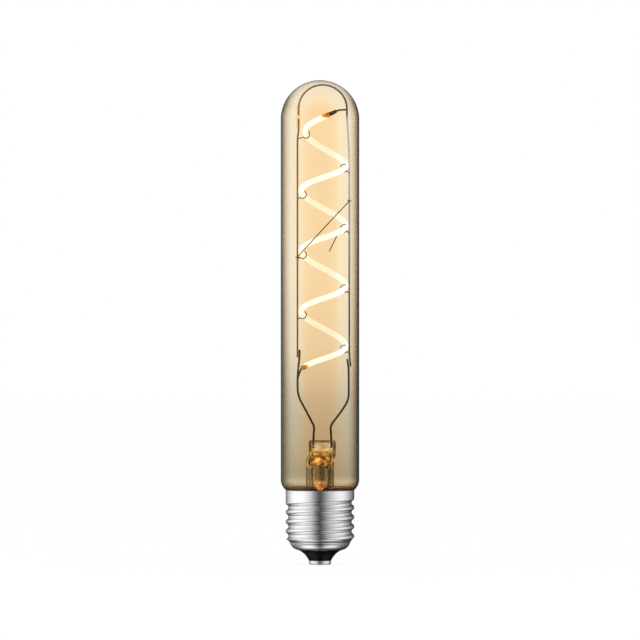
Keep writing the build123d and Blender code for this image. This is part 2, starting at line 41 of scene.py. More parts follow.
# ---------------------------------------------------------------- node helpers
class Shader:
    """The node tree of a material or of the world, with short calls for the nodes used most."""

    def __init__(self, name, world=False):
        self.owner = (bpy.data.worlds if world else bpy.data.materials).new(name)
        self.owner.use_nodes = True
        self.tree = self.owner.node_tree
        self.tree.nodes.clear()
        self.out = self.node("ShaderNodeOutputWorld" if world else "ShaderNodeOutputMaterial")

    def node(self, kind, **settings):
        made = self.tree.nodes.new(kind)
        for key, value in settings.items():
            setattr(made, key, value)
        return made

    def link(self, source, target):
        self.tree.links.new(source, target)

    def feed(self, socket, value):
        """Link an output to the socket, or set the socket's own value."""
        if hasattr(value, "is_linked"):
            self.link(value, socket)
        elif isinstance(value, tuple) and len(value) == 3 and socket.type == "RGBA":
            socket.default_value = (*value, 1)
        else:
            socket.default_value = value

    def put(self, node, **inputs):
        """Feed a node's inputs by name, with _ for each space."""
        for key, value in inputs.items():
            self.feed(node.inputs[key.replace("_", " ")], value)
        return node

    def surface(self, node):
        self.link(node.outputs[0], self.out.inputs["Surface"])
        return self.owner

    def principled(self, **inputs):
        return self.surface(self.put(self.node("ShaderNodeBsdfPrincipled"), **inputs))

    def glass(self, **inputs):
        return self.principled(Transmission_Weight=1.0, **inputs)

    def place(self, scale=(1, 1, 1)):
        """Object coordinates, in metres, scaled by axis."""
        coords = self.node("ShaderNodeTexCoord")
        mapping = self.put(self.node("ShaderNodeMapping"), Vector=coords.outputs["Object"])
        mapping.inputs["Scale"].default_value = scale
        return mapping.outputs[0]

    def axes(self, vector=None):
        """X, Y and Z of a vector, or of the object coordinates."""
        split = self.node("ShaderNodeSeparateXYZ")
        self.link(vector or self.place(), split.inputs[0])
        return split.outputs

    def height(self):
        return self.axes()["Z"]

    def facing(self):
        """0 where the surface faces the eye, 1 where the eye looks along it."""
        return self.put(self.node("ShaderNodeLayerWeight"), Blend=0.5).outputs["Facing"]

    def noise(self, scale, detail=3.0, roughness=0.5, stretch=(1, 1, 1), distortion=0.0):
        made = self.put(self.node("ShaderNodeTexNoise"), Vector=self.place(stretch), Scale=scale,
                        Detail=detail, Roughness=roughness, Distortion=distortion)
        return made.outputs["Fac"]

    def ramp(self, factor, *stops):
        """A colour ramp from pairs of position and colour."""
        made = self.node("ShaderNodeValToRGB")
        self.link(factor, made.inputs[0])
        elements = made.color_ramp.elements
        while len(elements) < len(stops):
            elements.new(0.5)
        for element, (position, colour) in zip(elements, stops):
            element.position = position
            element.color = (*colour, 1)
        return made.outputs["Color"]

    def span(self, factor, from_min, from_max, to_min=0.0, to_max=1.0):
        made = self.put(self.node("ShaderNodeMapRange"), Value=factor, From_Min=from_min,
                        From_Max=from_max, To_Min=to_min, To_Max=to_max)
        return made.outputs[0]

    def maths(self, how, *values):
        made = self.node("ShaderNodeMath", operation=how)
        for socket, value in zip(made.inputs, values):
            self.feed(socket, value)
        return made.outputs[0]

    def times(self, a, b):
        return self.maths("MULTIPLY", a, b)

    def vector(self, how, *values):
        made = self.node("ShaderNodeVectorMath", operation=how)
        for socket, value in zip(made.inputs, values):
            self.feed(socket, value)
        return made.outputs["Value" if how == "DOT_PRODUCT" else "Vector"]

    def mix(self, factor, a, b, how="MIX"):
        made = self.node("ShaderNodeMix", data_type="RGBA", blend_type=how)
        for socket, value in ((made.inputs[0], factor), (made.inputs[6], a), (made.inputs[7], b)):
            self.feed(socket, value)
        return made.outputs[2]

    def tinted(self, a, b):
        return self.mix(1.0, a, b, "MULTIPLY")

    def bump(self, height, strength, distance):
        made = self.put(self.node("ShaderNodeBump"), Height=height, Strength=strength, Distance=distance)
        return made.outputs[0]


def light_path(s):
    """Whether the eye sees this, directly or through glass, and whether a reflection does."""
    path = s.node("ShaderNodeLightPath")
    seen = s.maths("MAXIMUM", path.outputs["Is Camera Ray"], path.outputs["Is Transmission Ray"])
    return seen, path.outputs["Is Glossy Ray"]


# ---------------------------------------------------------------- materials
def wear(name, light, dark, roughness, scale, metallic=0.0, bump=0.15, depth=0.00002,
         stretch=(1, 1, 1), **more):
    """A solid material whose colour, gloss and surface vary a little, at the real thing's scale."""
    s = Shader(name)
    grain = s.noise(scale, 4, 0.6, stretch)
    broad = s.noise(scale * 0.12, 2, 0.5, stretch)
    colour = s.ramp(s.times(s.maths("ADD", grain, broad), 0.5), (0.3, dark), (0.7, light))
    rough = s.span(grain, 0.3, 0.7, roughness * 0.8, roughness * 1.25)
    return s.principled(Base_Color=colour, Roughness=rough, Metallic=metallic,
                        Normal=s.bump(grain, bump, depth), **more)


def wire(name, light, dark, scale, roughness=0.4, stretch=(1, 1, 1)):
    """Dark oxidised wire, which mirrors little of the bright room."""
    return wear(name, light, dark, roughness, scale, stretch=stretch, Specular_IOR_Level=0.3)


# Colour of the glass by how far its surface turns from the eye: its amber warmed by painted light of the
# strip where it faces the eye, and painted shade with the longer path through the amber, down to near
# black, where the eye looks along it
LIMB_LIGHT_AND_SHADE = (
    (0.0, (0.98, 0.75, 0.45)), (0.06, (0.98, 0.77, 0.49)), (0.134, (0.97, 0.9, 0.68)),
    (0.25, (0.93, 0.87, 0.74)), (0.35, (0.81, 0.755, 0.65)), (0.49, (0.46, 0.36, 0.23)),
    (0.585, (0.17, 0.115, 0.055)), (0.72, (0.012, 0.007, 0.003)), (0.85, (0.002, 0.0012, 0.0006)),
)
# Tint of the glass by height, as shares of the span below: amber at the cement, grey above it and lighter
# towards the crown, with a painted bluish highlight band at the bend of the neck
HEIGHT_TINT_SPAN = (0.024, 0.17)
OUTER_HEIGHT_TINT = (
    (0.0, (0.85, 0.42, 0.1)), (0.036, (0.85, 0.42, 0.1)), (0.041, (0.6, 0.63, 0.66)),
    (0.052, (0.82, 0.9, 0.98)), (0.064, (0.58, 0.6, 0.61)), (0.08, (0.57, 0.58, 0.57)),
    (0.137, (0.66, 0.66, 0.62)), (0.2, (0.71, 0.7, 0.67)), (0.266, (0.755, 0.745, 0.72)),
    (0.315, (0.84, 0.83, 0.81)), (0.41, (0.93, 0.93, 0.91)), (0.59, (0.985, 0.985, 0.98)),
    (0.92, (1, 1, 1)),
)
INNER_HEIGHT_TINT = (
    (0.0, (0.72, 0.6, 0.42)), (0.2, (0.78, 0.73, 0.65)), (0.4, (0.94, 0.88, 0.8)),
    (0.6, (0.99, 0.93, 0.85)), (1.0, (0.99, 0.93, 0.85)),
)
BULB_IOR, STEM_IOR = 1.47, 1.5


def outer_glass_material():
    """Outside of the amber glass: warmed by painted light where the wall faces the eye, grey to near black
    with painted shade where the eye looks along it, greyer towards the cap, with a painted bluish highlight
    at the bend of the neck.
    """
    s = Shader("amber_blown_glass")
    # The painted limb shade is weaker over the crown and stronger on the lower half
    crown = s.span(s.height(), 0.175, 0.1825, 1.0, 0.62)
    lower_half = s.span(s.height(), 0.125, 0.065, 1.0, 1.12)
    limb_light_and_shade = s.ramp(s.times(s.times(s.facing(), crown), lower_half), *LIMB_LIGHT_AND_SHADE)
    tint_by_height = s.ramp(s.span(s.height(), *HEIGHT_TINT_SPAN), *OUTER_HEIGHT_TINT)
    ripple = s.noise(18.0, 2, 0.5, (1, 1, 0.35))
    return s.glass(Base_Color=s.tinted(limb_light_and_shade, tint_by_height), Roughness=0.0, IOR=BULB_IOR,
                   Specular_Tint=(0.3, 0.3, 0.3), Normal=s.bump(ripple, 0.02, 0.0004))


def inner_glass_material():
    """Inside of the blown glass, which carries part of the tint."""
    s = Shader("inner_glass_wall")
    tint_by_height = s.ramp(s.span(s.height(), *HEIGHT_TINT_SPAN), *INNER_HEIGHT_TINT)
    return s.glass(Base_Color=tint_by_height, Roughness=0.0, IOR=BULB_IOR, Specular_Tint=(0.15, 0.15, 0.15))


def stem_glass_material():
    """Streaked clear glass in the stem's tube, uneven below the pinch and clear in it, with painted light
    and shade: amber and dark blotches below the pinch, darker edges, a dark rim on the pinch, and glints
    and a sheen that emission paints for the strip's light.
    """
    s = Shader("stem_glass")
    flow = s.noise(420.0, 3, 0.6, (1, 1, 0.6), 0.6)
    z = s.maths("ADD", s.height(), s.span(flow, 0.3, 0.7, -0.0006, 0.0006))
    above_tube = s.span(z, 0.0376, 0.0384)
    in_pinch = s.span(z, 0.0428, 0.0438)
    # Painted shade: darker where the surface turns away, and more so in the pinch
    steep = s.times(s.facing(), s.span(in_pinch, 0.0, 1.0, 1.0, 1.7))
    edge_shade = s.ramp(steep, (0.0, (1, 1, 1)), (0.35, (0.93, 0.9, 0.84)), (0.55, (0.42, 0.34, 0.22)),
                  (0.75, (0.08, 0.05, 0.03)))
    # The three zones
    streaks = s.noise(330.0, 2, 0.5, (1, 1, 0.03))
    tube = s.mix(s.span(streaks, 0.42, 0.6), (1.0, 0.98, 0.94), (0.45, 0.4, 0.33))
    tube = s.mix(s.span(z, 0.0306, 0.0288), tube, (0.98, 0.8, 0.5))
    # Painted light and shade: amber and dark blotches below the pinch stand in for the strip's and the
    # cement's light refracted in the uneven glass
    amber = s.mix(s.span(flow, 0.46, 0.56), (0.9, 0.6, 0.22), (0.13, 0.05, 0.008))
    clear = s.mix(s.span(flow, 0.4, 0.6), (1.0, 0.97, 0.9), (0.8, 0.7, 0.5))
    # Painted shade: a dark rim at the sides and the top of the pinch
    spot = s.axes()
    aside = s.maths("ABSOLUTE", s.maths("SUBTRACT", spot["X"], 0.0009))
    rim = s.maths("MAXIMUM", s.span(aside, 0.0035, 0.0044), s.span(spot["Z"], 0.0463, 0.0469))
    rim = s.times(rim, s.span(flow, 0.35, 0.5, 0.6, 1.0))
    clear = s.mix(rim, clear, (0.1, 0.055, 0.02))
    body = s.mix(in_pinch, s.mix(above_tube, tube, amber), clear)
    # Painted light: emission for the strip's light that the uneven glass catches, as glints below the pinch
    # and a soft sheen in it
    sparks = s.noise(480.0, 2, 0.5, (1, 1, 0.8), 1.0)
    in_amber = s.maths("SUBTRACT", above_tube, in_pinch)
    lower = s.span(s.height(), 0.0432, 0.0416, 0.15, 1.0)
    glint = s.times(s.span(sparks, 0.54, 0.66, 0.0, 1.1), s.times(in_amber, lower))
    inside = s.times(in_pinch, s.maths("SUBTRACT", 1.0, rim))
    patches = s.noise(330.0, 2, 0.5, (0.5, 1, 1.8))
    sheen = s.times(s.span(patches, 0.45, 0.6, 0.0, 0.4), inside)
    return s.glass(Base_Color=s.tinted(edge_shade, body), Roughness=0.02, IOR=STEM_IOR,
                   Emission_Color=s.mix(in_pinch, (1.0, 0.55, 0.12), (1.0, 0.84, 0.56)),
                   Emission_Strength=s.maths("ADD", glint, sheen), Normal=s.bump(flow, 0.5, 0.0004))


def exhaust_glass_material():
    """Thin tube in the stem, darker at its edges with painted shade, and with a painted amber glow at its
    lower end, where it was tipped off.
    """
    s = Shader("exhaust_glass")
    low = s.span(s.height(), 0.0324, 0.0308)
    # Painted shade: darker where the surface turns away, less so at the lower end
    steep = s.times(s.facing(), s.span(low, 0.0, 1.0, 1.0, 0.5))
    edge_shade = s.ramp(steep, (0.0, (1, 1, 1)), (0.3, (0.95, 0.93, 0.9)), (0.6, (0.7, 0.65, 0.57)))
    # Painted light: amber colour and emission at the lower end stand in for the strip's light reflected
    # inside the stem
    zone = s.mix(low, (0.9, 0.87, 0.82), (0.95, 0.72, 0.4))
    flow = s.noise(650.0, 3, 0.6)
    zone = s.mix(s.span(flow, 0.35, 0.65, 0.0, 0.5), zone, (0.85, 0.7, 0.45))
    shine = s.times(s.span(flow, 0.46, 0.6, 0.05, 0.6), low)
    return s.glass(Base_Color=s.tinted(edge_shade, zone), Roughness=0.03, IOR=STEM_IOR,
                   Emission_Color=(1.0, 0.6, 0.24), Emission_Strength=shine,
                   Normal=s.bump(flow, 0.3, 0.0003))


def bead_glass_material():
    """Amber glass bead over the ends of two wires."""
    s = Shader("bead_glass")
    flow = s.noise(1400.0, 2, 0.5, (1, 1, 0.3))
    tint = s.mix(s.span(flow, 0.35, 0.65), (1.0, 0.9, 0.7), (0.98, 0.8, 0.52))
    return s.glass(Base_Color=tint, Roughness=0.04, IOR=STEM_IOR, Normal=s.bump(flow, 0.08, 0.00003))


def strip_material():
    """The lit strip: soft silicone, brighter on the outside of the helix, with amber ends."""
    s = Shader("lit_silicone_strip")
    cloud = s.noise(900.0, 2, 0.5)
    outward = s.vector("NORMALIZE", s.vector("MULTIPLY", s.place(), (1, 1, 0)))
    normal = s.node("ShaderNodeNewGeometry").outputs["Normal"]
    side = s.vector("DOT_PRODUCT", outward, normal)
    # 0 on the lit length, rising to 1 through each amber end
    spot = s.axes()
    top_tip = s.times(s.span(spot["Z"], 0.1702, 0.1709), s.span(spot["X"], 0.0001, 0.0022))
    low_tip = s.times(s.span(spot["Z"], 0.0766, 0.0757), s.span(spot["X"], -0.0042, -0.0055))
    tips = s.maths("ADD", s.maths("MAXIMUM", top_tip, low_tip), s.span(cloud, 0.3, 0.7, -0.06, 0.06))
    lit = s.mix(s.span(side, -0.5, 0.7), (1.0, 0.98, 0.9), (1.0, 1.0, 1.0))
    colour = s.ramp(tips, (0.08, (1, 1, 1)), (0.24, (1.0, 0.76, 0.22)), (0.42, (0.85, 0.42, 0.03)),
                    (0.6, (0.45, 0.17, 0.005)), (0.82, (0.95, 0.42, 0.04)), (1.0, (0.4, 0.14, 0.005)))
    strength = s.times(s.span(side, -0.2, 0.8, 1.0, 1.35), s.span(tips, 0.08, 0.5, 1.0, 0.8))
    body = s.mix(s.span(tips, 0.1, 0.3), (0.22, 0.2, 0.15), (0.12, 0.035, 0.0))
    return s.principled(Base_Color=body, Roughness=0.45, Specular_IOR_Level=0.15,
                        Emission_Color=s.tinted(lit, colour), Emission_Strength=strength,
                        Normal=s.bump(cloud, 0.1, 0.00003))


def cap_material():
    """Rolled aluminium: fine brushing round the cap, with faint stains."""
    s = Shader("rolled_cap_metal")
    lines = s.noise(6.0, 5, 0.65, (60, 60, 900))
    blur = s.noise(140.0, 3, 0.6)
    both = s.maths("ADD", s.times(lines, 0.6), s.times(blur, 0.4))
    colour = s.ramp(both, (0.3, (0.8, 0.81, 0.82)), (0.7, (0.9, 0.905, 0.91)))
    return s.principled(Base_Color=colour, Metallic=1.0, Roughness=s.span(lines, 0.3, 0.7, 0.14, 0.24),
                        Normal=s.bump(lines, 0.03, 0.00001))


def arch_material():
    """The arched wire: a painted bluish-white highlight up its straight part, darker towards its foot,
    heat-stained over the top, then coppery.
    """
    s = Shader("arched_support_wire")
    spot = s.axes()
    grain = s.noise(1500.0, 3, 0.6, (1, 1, 0.15))
    # Painted highlight: bluish white high up the straight part, darker towards its foot
    bright = s.ramp(s.span(spot["Z"], 0.08, 0.165), (0.0, (0.05, 0.035, 0.02)),
                    (0.15, (0.1, 0.08, 0.055)), (0.47, (0.33, 0.32, 0.3)), (0.8, (0.8, 0.83, 0.88)),
                    (1.0, (0.85, 0.88, 0.95)))
    bright = s.mix(s.span(grain, 0.3, 0.7, 0.0, 0.3), bright, s.tinted(bright, (0.6, 0.58, 0.55)))
    stained = s.mix(s.span(spot["X"], -0.006, 0.001), (0.42, 0.18, 0.012), (0.025, 0.01, 0.002))
    colour = s.mix(s.span(spot["Z"], 0.1695, 0.1722), bright, stained)
    return s.principled(Base_Color=colour, Specular_IOR_Level=0.3,
                        Roughness=s.span(grain, 0.3, 0.7, 0.3, 0.45), Normal=s.bump(grain, 0.15, 0.00002))


ALONG = (1, 1, 0.1)
outer_glass = outer_glass_material()
inner_glass = inner_glass_material()
stem_glass = stem_glass_material()
tube_glass = exhaust_glass_material()
strip = strip_material()
cap_metal = cap_material()
left_metal = wire("left_support_wire", (0.38, 0.165, 0.02), (0.22, 0.09, 0.008), 1500.0, 0.45, ALONG)
lead_metal = wire("lead_nickel", (0.035, 0.018, 0.008), (0.012, 0.006, 0.003), 1500.0, stretch=ALONG)
hook_metal = wire("hook_wire", (0.2, 0.1, 0.03), (0.1, 0.05, 0.014), 2500.0)
terminal_metal = wire("terminal_metal", (0.03, 0.016, 0.007), (0.012, 0.006, 0.003), 2200.0)
copper = wire("oxidised_sheath", (0.09, 0.045, 0.02), (0.04, 0.02, 0.01), 1800.0, stretch=ALONG)
sleeve = bead_glass_material()
insulator = wear("black_vitrite", (0.004, 0.004, 0.005), (0.0015, 0.0015, 0.002), 0.16, 700.0,
                 bump=0.06, depth=0.00004, Specular_IOR_Level=0.1)
contact_metal = wear("tinned_contact", (0.8, 0.79, 0.76), (0.62, 0.6, 0.57), 0.28, 900.0,
                     metallic=1.0, bump=0.2, depth=0.00004)
cement = wear("basing_cement", (0.95, 0.52, 0.15), (0.72, 0.34, 0.09), 0.8, 1200.0,
              bump=0.5, depth=0.0001)
board = wear("board_mask", (0.04, 0.16, 0.07), (0.03, 0.11, 0.05), 0.35, 900.0)
package = wear("moulded_package", (0.03, 0.03, 0.032), (0.018, 0.018, 0.02), 0.5, 2400.0, bump=0.3)
can = wear("capacitor_sleeve", (0.03, 0.04, 0.09), (0.02, 0.025, 0.06), 0.25, 800.0)
lacquer = wear("resistor_lacquer", (0.36, 0.46, 0.5), (0.28, 0.37, 0.42), 0.35, 1500.0)
insulation = wear("wire_insulation", (0.6, 0.05, 0.04), (0.45, 0.035, 0.03), 0.45, 1500.0)
arch_metal = arch_material()


def dress(node, material):
    """Give a CAD node its material."""
    mesh = nodes[node].data
    mesh.materials.clear()
    mesh.materials.append(material)
    for polygon in mesh.polygons:
        polygon.material_index = 0


finishes = {
    "exhaust_tube": tube_glass, "filament": strip,
    "lead_wire_left": lead_metal, "lead_wire_right": lead_metal,
    "dumet_lead_left": copper, "dumet_lead_right": copper,
    "support_wire_arch": arch_metal, "support_wire_left": left_metal,
    "insulating_sleeve": sleeve, "tie_wire": terminal_metal,
    "filament_terminal_bottom": terminal_metal,
    "cap_insulator": insulator, "centre_contact": contact_metal, "basing_cement": cement,
    "driver_board": board, "rectifier": package, "driver_chip": package, "capacitor": can,
    "resistor": lacquer, "line_wire": insulation, "neutral_wire": insulation,
}
for side in ("left", "right"):
    for number in range(1, 5):
        finishes[f"hook_{side}_{number}"] = hook_metal
for node, material in finishes.items():
    dress(node, material)


# ---------------------------------------------------------------- meshes, with sizes in mm
def new_piece(name, vertices, faces, material, slot, *replaced):
    """A smooth mesh on the frame's body that takes the place of CAD nodes."""
    mesh = bpy.data.meshes.new(name)
    mesh.from_pydata(vertices, [], faces)
    mesh.validate()
    for polygon in mesh.polygons:
        polygon.use_smooth = True
    mesh.materials.append(material)
    piece = bpy.data.objects.new(name, mesh)
    bpy.context.scene.collection.objects.link(piece)
    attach(piece, "root")
    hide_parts(*replaced)
    return piece


def bands(rows, around, first=0):
    """Faces between rows of points that each go once round."""
    faces = []
    for i in range(rows - 1):
        low, high = first + i * around, first + (i + 1) * around
        for j in range(around):
            k = (j + 1) % around
            faces.append((low + j, low + k, high + k, high + j))
    return faces


def end_faces(rows, around):
    """One face over the first row of points and one over the last."""
    last = (rows - 1) * around
    return [tuple(reversed(range(around))), tuple(range(last, last + around))]


def lathe(rows, around):
    """Vertices of a turned form. Each row is a function of the angle that gives (radius, height)."""
    vertices = []
    for row in rows:
        for step in range(around):
            angle = 2 * pi * step / around
            radius, height = row(angle)
            vertices.append((radius * cos(angle) * MM, radius * sin(angle) * MM, height * MM))
    return vertices


def arc(centre, radius, start, end, steps):
    """Points (radius, height) along an arc."""
    return [(centre[0] + radius * cos(start + (end - start) * n / steps),
             centre[1] + radius * sin(start + (end - start) * n / steps)) for n in range(steps + 1)]


def smooth(share):
    return share * share * (3 - 2 * share)


# Envelope
TUBE_RADIUS, WALL, TOP, DOME_HEIGHT = 15.0, 0.8, 185.0, 170.0
NECK_RADIUS, NECK_END = 11.2, 20.0
BEND_X, BEND_RADIUS, BEND_HEIGHT = 10.1, 4.9, 32.4
FILLET_X, FILLET_RADIUS = 12.4, 1.2
CROWN_ANGLE = 0.012
CROWN_FROM = 0.18
NECK_STEPS, TUBE_STEPS, ENVELOPE_SIDES = 6, 40, 160


def envelope_line(inset):
    """Outline of the blown glass, from the neck's end up to the crown."""
    drop = sqrt((BEND_RADIUS + FILLET_RADIUS) ** 2 - (FILLET_X - BEND_X) ** 2)
    fillet_z = BEND_HEIGHT - drop
    slope = atan2(drop, FILLET_X - BEND_X)
    neck = [(NECK_RADIUS - inset, NECK_END + (fillet_z - NECK_END) * n / NECK_STEPS)
            for n in range(NECK_STEPS)]
    fillet = arc((FILLET_X, fillet_z), FILLET_RADIUS + inset, pi, pi - slope, 10)
    bend = arc((BEND_X, BEND_HEIGHT), BEND_RADIUS - inset, -slope, 0.0, 18)
    tube = [(TUBE_RADIUS - inset, BEND_HEIGHT + (DOME_HEIGHT - BEND_HEIGHT) * n / TUBE_STEPS)
            for n in range(1, TUBE_STEPS)]
    dome = arc((0.0, DOME_HEIGHT), TUBE_RADIUS - inset, 0.0, pi / 2 - CROWN_ANGLE, 44)
    return neck + fillet + bend[1:] + tube + dome


def close_crown(vertices, faces, around, outer_row):
    """Fans of faces from the last outer row and the first inner row to the crown's two points."""
    outer_tip, inner_tip = len(vertices), len(vertices) + 1
    vertices += [(0, 0, TOP * MM), (0, 0, (TOP - WALL) * MM)]
    for j in range(around):
        k = (j + 1) % around
        faces.append((outer_row * around + j, outer_row * around + k, outer_tip))
        faces.append((k, j, inner_tip))


inner = envelope_line(WALL)
profile = list(reversed(inner)) + envelope_line(0.0)
vertices = lathe([lambda angle, p=p: p for p in profile], ENVELOPE_SIDES)
faces = bands(len(profile), ENVELOPE_SIDES)
close_crown(vertices, faces, ENVELOPE_SIDES, len(profile) - 1)
envelope = new_piece("blown_envelope", vertices, faces, outer_glass, "amber_glass", "glass_envelope")
envelope.data.materials.append(inner_glass)
wall_faces = len(inner) * ENVELOPE_SIDES
for polygon in envelope.data.polygons:
    inner_crown = polygon.normal.z < 0 and polygon.center.z > CROWN_FROM
    if polygon.index < wall_faces or inner_crown:
        polygon.material_index = 1

# Stem: flare, tube and pinch as one blown piece, a little uneven where the hot glass was pinched
FLARE_CENTRE, FLARE_SWEEP, FLARE_RIM = (10.4, 25.0), 5.0, 11.1
FLARE_FEET = (19.02, 19.98)
STEM_WALL, STEM_RADIUS, STEM_BORE = 1.0, 5.4, 4.4
BORE_TOP, BORE_RISE, BORE_ROUND = 37.5, 12.5, (3.4, 37.5)
STEM_FOOT, STEM_RISE = 25.0, 14.3
PINCH_FOOT, PINCH_RISE, PINCH_X = 39.3, 3.2, 0.9
PINCH_LOW, PINCH_HALF_X, PINCH_HALF_Y, PINCH_HEIGHT = 42.5, 5.17, 1.78, 4.1
PINCH_SHOULDER, PINCH_ROUND, PINCH_TOP = 46.6, 0.9, 47.5
ROUND, SQUARISH = 2, 3.6
STEM_SIDES = 96


def ring(angle, centre_x, half_x, half_y, power, height, waver=0.0):
    """A point of a rounded rectangle, or of a circle at power 2, that wavers a little."""
    swing = 1 + waver * (sin(3 * angle + 2 * height) + 0.6 * sin(5 * angle - 3 * height))
    x = half_x * abs(cos(angle)) ** (2 / power) * (1 if cos(angle) >= 0 else -1) * swing
    y = half_y * abs(sin(angle)) ** (2 / power) * (1 if sin(angle) >= 0 else -1) * swing
    return ((centre_x + x) * MM, y * MM, height * MM)


def turned(radius, height, waver=0):
    """A round row of the stem, as ring takes it."""
    return (0, radius, radius, ROUND, height, waver)


bore_rows = [turned(min(radius, FLARE_RIM), height) for radius, height
             in arc(FLARE_CENTRE, FLARE_SWEEP + STEM_WALL, 3 * pi / 2, pi, 12)]
bore_rows += [turned(STEM_BORE, STEM_FOOT + BORE_RISE * n / 11) for n in range(1, 12)]
bore_rows += [turned(radius, height, 0.004) for radius, height in arc(BORE_ROUND, STEM_WALL, 0, pi / 2, 6)]
bore_rows.append(turned(0.4, BORE_TOP + STEM_WALL))
outer_rows = [turned(FLARE_RIM, height) for height in FLARE_FEET]
outer_rows += [turned(radius, height) for radius, height
               in arc(FLARE_CENTRE, FLARE_SWEEP, 3 * pi / 2, pi, 12)[1:]]
outer_rows += [turned(STEM_RADIUS, STEM_FOOT + STEM_RISE * n / 15, 0.004 if n > 12 else 0)
               for n in range(1, 16)]
for n in range(1, 13):
    share = n / 12
    soft = smooth(share)
    outer_rows.append((PINCH_X * soft, STEM_RADIUS - 0.2 * soft, STEM_RADIUS - 3.6 * soft,
                       ROUND + 1.6 * soft, PINCH_FOOT + PINCH_RISE * share,
                       0.012 * sin(pi * share) + 0.006))
outer_rows += [(PINCH_X, PINCH_HALF_X, PINCH_HALF_Y, SQUARISH, PINCH_LOW + PINCH_HEIGHT * n / 10, 0.006)
               for n in range(1, 11)]
for n in range(1, 9):
    turn = pi / 2 * n / 8
    reach = PINCH_ROUND * cos(turn)
    outer_rows.append((PINCH_X, PINCH_HALF_X - PINCH_ROUND + reach, PINCH_HALF_Y - PINCH_ROUND + reach,
                       SQUARISH, PINCH_SHOULDER + PINCH_ROUND * sin(turn), 0.004))
outer_rows.append((PINCH_X, 0.4, 0.12, 4, PINCH_TOP, 0))
rows = list(reversed(bore_rows)) + outer_rows
vertices = [ring(2 * pi * n / STEM_SIDES, *row) for row in rows for n in range(STEM_SIDES)]
faces = bands(len(rows), STEM_SIDES) + end_faces(len(rows), STEM_SIDES)

# Centre and radius of each gas bubble in the pinch
BUBBLES = ((5.2, -0.7, 46.0, 0.34), (5.35, -0.5, 45.0, 0.42), (5.15, -0.8, 43.9, 0.3),
           (5.5, -0.2, 43.1, 0.26), (4.6, -0.9, 43.2, 0.22), (-3.7, -0.6, 43.6, 0.26),
           (1.2, -0.7, 42.6, 0.3), (-0.6, -0.8, 43.0, 0.2))
BUBBLE_STRETCH, BUBBLE_STACKS, BUBBLE_SLICES = 1.3, 8, 14


def bubble(x, y, z, radius):
    """A small gas bubble shut in the glass, with its surface facing inwards."""
    first = len(vertices)
    tall = BUBBLE_STRETCH * radius
    for i in range(1, BUBBLE_STACKS):
        band = pi * i / BUBBLE_STACKS
        for j in range(BUBBLE_SLICES):
            turn = 2 * pi * j / BUBBLE_SLICES
            vertices.append(((x + radius * sin(band) * cos(turn)) * MM,
                             (y + radius * sin(band) * sin(turn)) * MM, (z + tall * cos(band)) * MM))
    top = len(vertices)
    vertices.extend([(x * MM, y * MM, (z + tall) * MM), (x * MM, y * MM, (z - tall) * MM)])
    faces.extend(bands(BUBBLE_STACKS - 1, BUBBLE_SLICES, first))
    low = first + (BUBBLE_STACKS - 2) * BUBBLE_SLICES
    for j in range(BUBBLE_SLICES):
        k = (j + 1) % BUBBLE_SLICES
        faces.append((top, first + k, first + j))
        faces.append((top + 1, low + j, low + k))


for place in BUBBLES:
    bubble(*place)
new_piece("pinched_stem", vertices, faces, stem_glass, "stem_glass", "stem")

# Cap: the thread's wave is worked out for every point, so the rolled sheet keeps its thickness
PITCH, CREST, DEPTH, SHEET = 3.63, 13.1, 1.0, 0.3
KNUCKLE = (DEPTH**2 + PITCH**2 / 4) / (4 * DEPTH)
# Height of the first root, and the thread's ends in turns from it
FIRST_ROOT, FIRST, LAST_FULL, LAST = 9.075, -0.6, 4.0, 4.5
LIP_RADIUS, LIP_HEIGHT, BORE_FROM = 8.2, 5.56, 5.9
SHOULDER_X, SHOULDER_Z, SHOULDER_RADIUS = 7.9, 9.3, 3.75
SHOULDER_TOP, SHOULDER_EDGE, SKIRT_RISE = 8.65, 11.62, 1.7
SKIRT_FROM, FLARE_FOOT, FLARE_STEP = 8.72, 26.3, 0.25
RIM_RADII, RIM_TOP, RIM_RISE = (13.3, 13.12), 28.47, 2.1
CAP_SIDES = 180


def thread_dip(angle, height):
    """How far the thread's groove lies below the crest at this place."""
    dip = 0.0
    for turn in range(-1, 6):
        place = angle / (2 * pi) + turn
        off = abs(height - (FIRST_ROOT + PITCH * place))
        if off > PITCH / 2 or place < FIRST or place > LAST:
            continue
        if off <= PITCH / 4:
            radius = CREST - DEPTH + KNUCKLE - sqrt(KNUCKLE**2 - off**2)
        else:
            radius = CREST - KNUCKLE + sqrt(KNUCKLE**2 - (PITCH / 2 - off) ** 2)
        share = min(1.0, max(0.0, (LAST - place) / (LAST - LAST_FULL)))
        dip = max(dip, (CREST - radius) * share)
    return dip


def cap_outline(height):
    """The cap's outside without its thread."""
    if height < SHOULDER_TOP:
        return SHOULDER_X + sqrt(max(0.0, SHOULDER_RADIUS**2 - (SHOULDER_Z - height) ** 2))
    if height < SHOULDER_TOP + SKIRT_RISE:
        return SHOULDER_EDGE + (CREST - SHOULDER_EDGE) * sin((height - SHOULDER_TOP) / SKIRT_RISE * pi / 2)
    if height < FLARE_FOOT:
        return CREST
    return CREST + FLARE_STEP * smooth(min(1.0, height - FLARE_FOOT))


def cap_row(height, inset):
    """A row for lathe: the outline or the thread's groove, whichever lies deeper."""
    def row(angle):
        return min(cap_outline(height), CREST - thread_dip(angle, height)) - inset, height
    return row


def flat_row(radius, height):
    return lambda angle: (radius, height)


